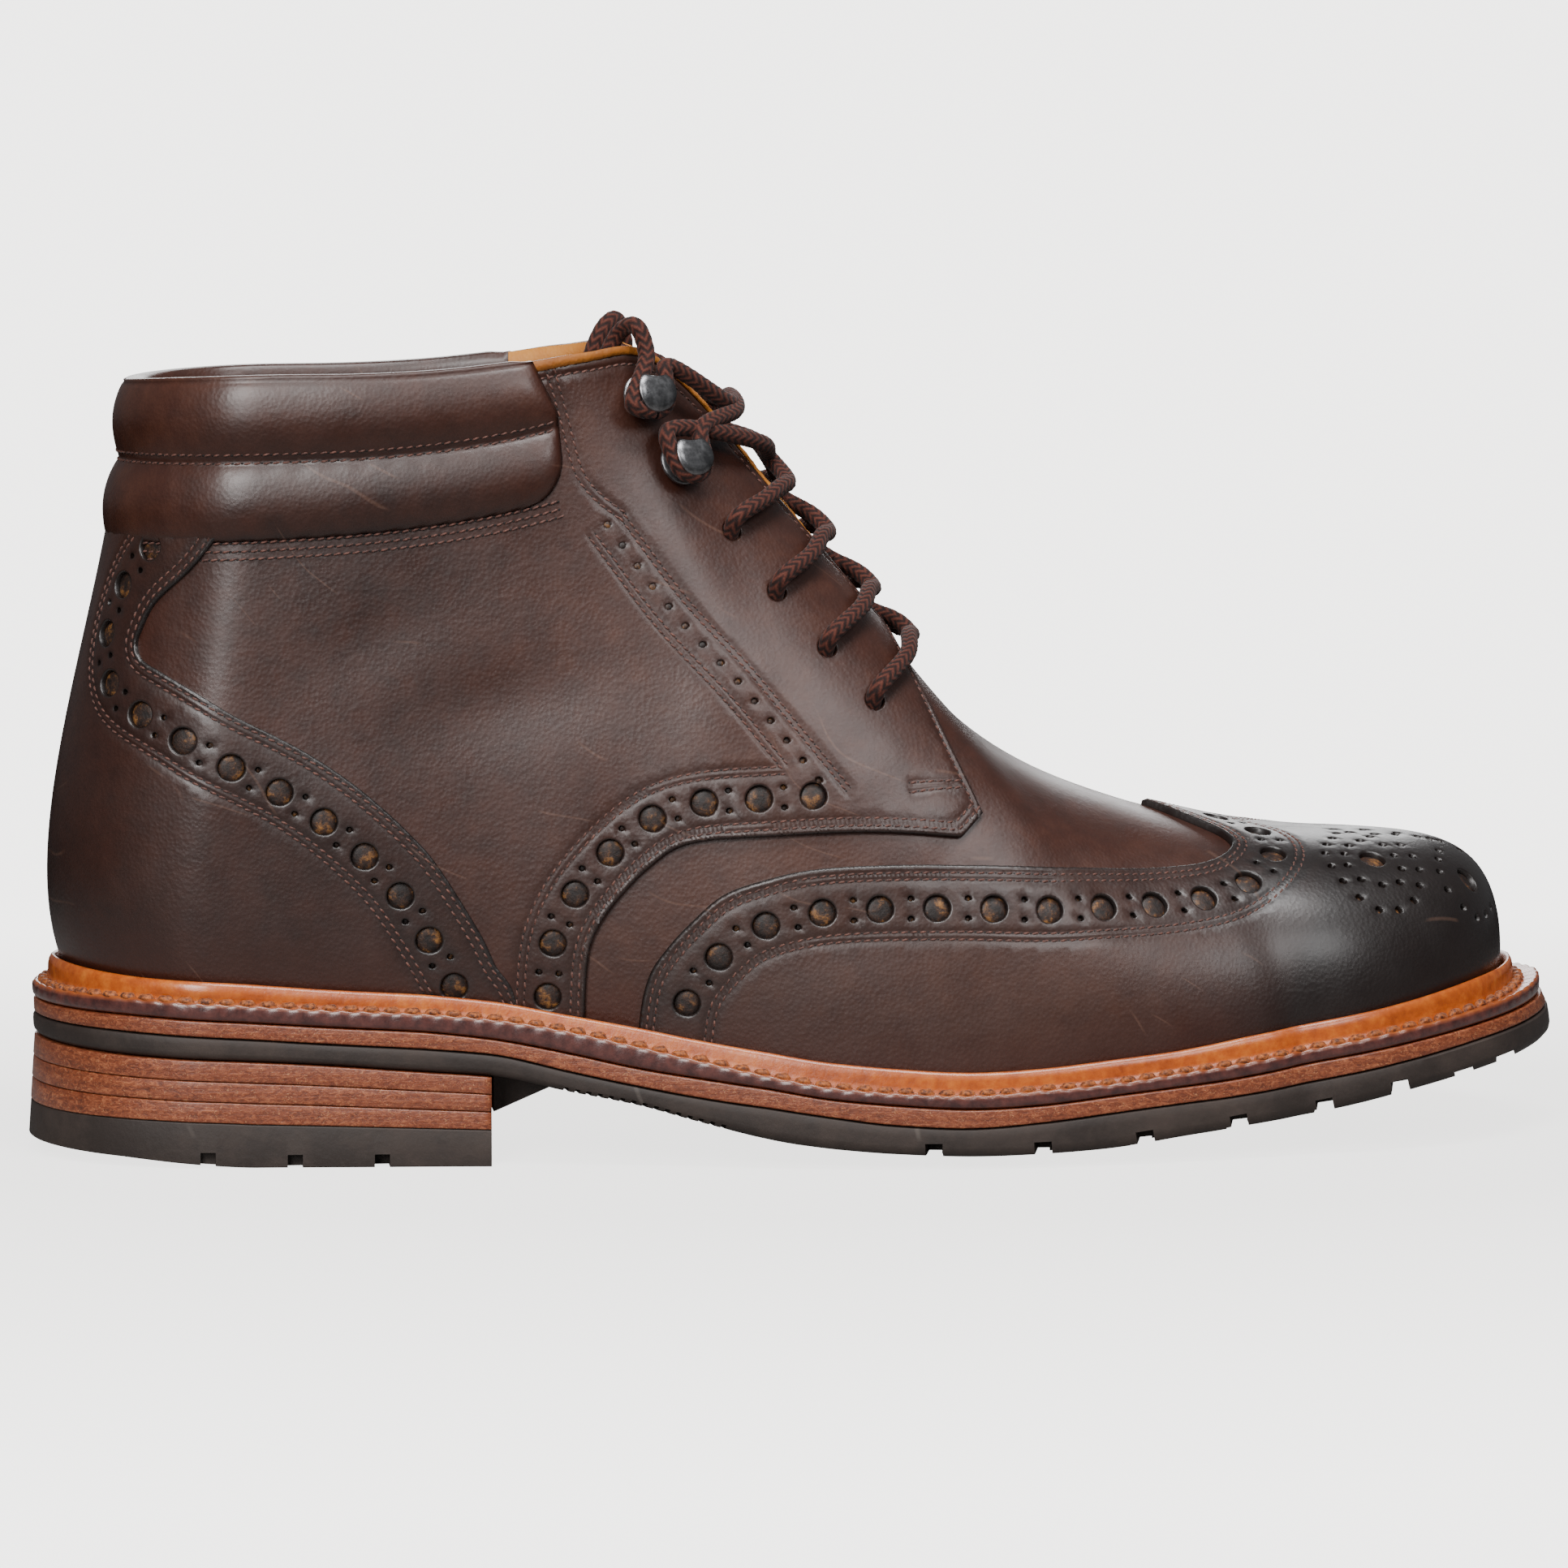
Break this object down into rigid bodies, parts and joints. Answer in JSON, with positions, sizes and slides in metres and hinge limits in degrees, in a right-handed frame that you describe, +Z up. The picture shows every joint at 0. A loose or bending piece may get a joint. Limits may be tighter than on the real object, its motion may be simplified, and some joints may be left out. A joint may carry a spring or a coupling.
{
  "type": "brogue boot",
  "caption": "Ankle-high lace-up leather brogue boot with wing cap, padded collar, speed hooks, storm welt and studded rubber sole.",
  "frame": {"origin": "middle of the flat of the heel, on the ground", "axes": "+X from heel to toe, +Y to the inner side of the right foot, +Z up"},
  "size_m": [0.3144, 0.1116, 0.1678],
  "materials": {
    "upper_leather": "waxed pull-up calf, mid brown",
    "cap_leather": "waxed calf, burnished dark",
    "sole_leather": "dyed and waxed leather edge",
    "storm_leather": "glossy tan welt with thick stitches",
    "sole_rubber": "matt dark rubber",
    "lining_leather": "smooth natural tan lining",
    "lace_cord": "round waxed braid",
    "hook_metal": "dark gunmetal plate, glossy"
  },
  "bodies": {
    "root": {"outsole": "sole_rubber", "midsole": "sole_leather", "welt": "storm_leather", "insole": "lining_leather", "heel_lift_1": "sole_leather", "heel_lift_2": "sole_leather", "heel_lift_3": "sole_leather", "heel_top_lift": "sole_rubber", "upper": "upper_leather", "wing_cap": "cap_leather", "counter": "cap_leather", "collar": "upper_leather", "tongue": "upper_leather", "lace_crossing_top": "lace_cord", "lace_crossing_1": "lace_cord", "lace_crossing_2": "lace_cord", "lace_crossing_3": "lace_cord", "facing_lateral": "upper_leather", "facing_medial": "upper_leather", "lace_end_lateral": "lace_cord", "lace_end_medial": "lace_cord", "hook_lateral_1": "hook_metal", "hook_lateral_2": "hook_metal", "hook_medial_1": "hook_metal", "hook_medial_2": "hook_metal"}
  },
  "joints": []
}
